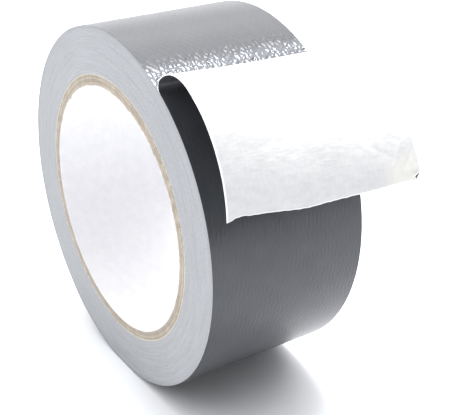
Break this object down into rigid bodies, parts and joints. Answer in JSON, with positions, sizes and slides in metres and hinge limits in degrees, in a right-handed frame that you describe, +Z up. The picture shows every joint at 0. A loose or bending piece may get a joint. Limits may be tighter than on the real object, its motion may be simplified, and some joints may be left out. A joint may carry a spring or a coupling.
{
  "type": "duct tape roll",
  "caption": "Roll of silver cloth-backed adhesive tape on a spiral-wound paper core, its free end peeled, folded back and hanging in front of the roll.",
  "frame": {"origin": "centre of the core's bore, half way along it", "axes": "+Z up as the roll stands on its rim, +Y along the roll's axis, +X to the side the free end hangs on"},
  "size_m": [0.1314, 0.05, 0.1103],
  "materials": {
    "liner_paper": "matte",
    "kraft_paper": "matte",
    "core_outer_paper": "matte",
    "wound_tape": "satin",
    "silver_film": "satin",
    "cotton_scrim": "matte",
    "white_adhesive": "satin"
  },
  "bodies": {
    "roll": {"core_liner": "liner_paper", "core_kraft_ply_1": "kraft_paper", "core_kraft_ply_2": "kraft_paper", "core_kraft_ply_3": "kraft_paper", "core_kraft_ply_4": "kraft_paper", "core_outer_ply": "core_outer_paper", "tape_winding": "wound_tape", "outer_turn_film": "silver_film", "outer_turn_cloth": "cotton_scrim", "outer_turn_adhesive": "white_adhesive", "tail_fold_film": "silver_film", "tail_fold_cloth": "cotton_scrim", "tail_fold_adhesive": "white_adhesive"},
    "tail_inner": {"tail_inner_film": "silver_film", "tail_inner_cloth": "cotton_scrim", "tail_inner_adhesive": "white_adhesive"},
    "tail_end": {"tail_end_film": "silver_film", "tail_end_cloth": "cotton_scrim", "tail_end_adhesive": "white_adhesive"}
  },
  "joints": [
    {"name": "tail_fold_bend", "type": "hinge", "parent": "roll", "child": "tail_inner", "pos_m": [0.03269, 0, 0.05035], "axis": [-0.0092, -0.9993, 0.037], "range_deg": [-8, 90], "deforming": ["tail_fold_film", "tail_fold_cloth", "tail_fold_adhesive"]},
    {"name": "tail_end_bend", "type": "hinge", "parent": "tail_inner", "child": "tail_end", "pos_m": [0.05664, 0, 0.04426], "axis": [-0.0699, -0.995, -0.0717], "range_deg": [-8, 70]}
  ]
}
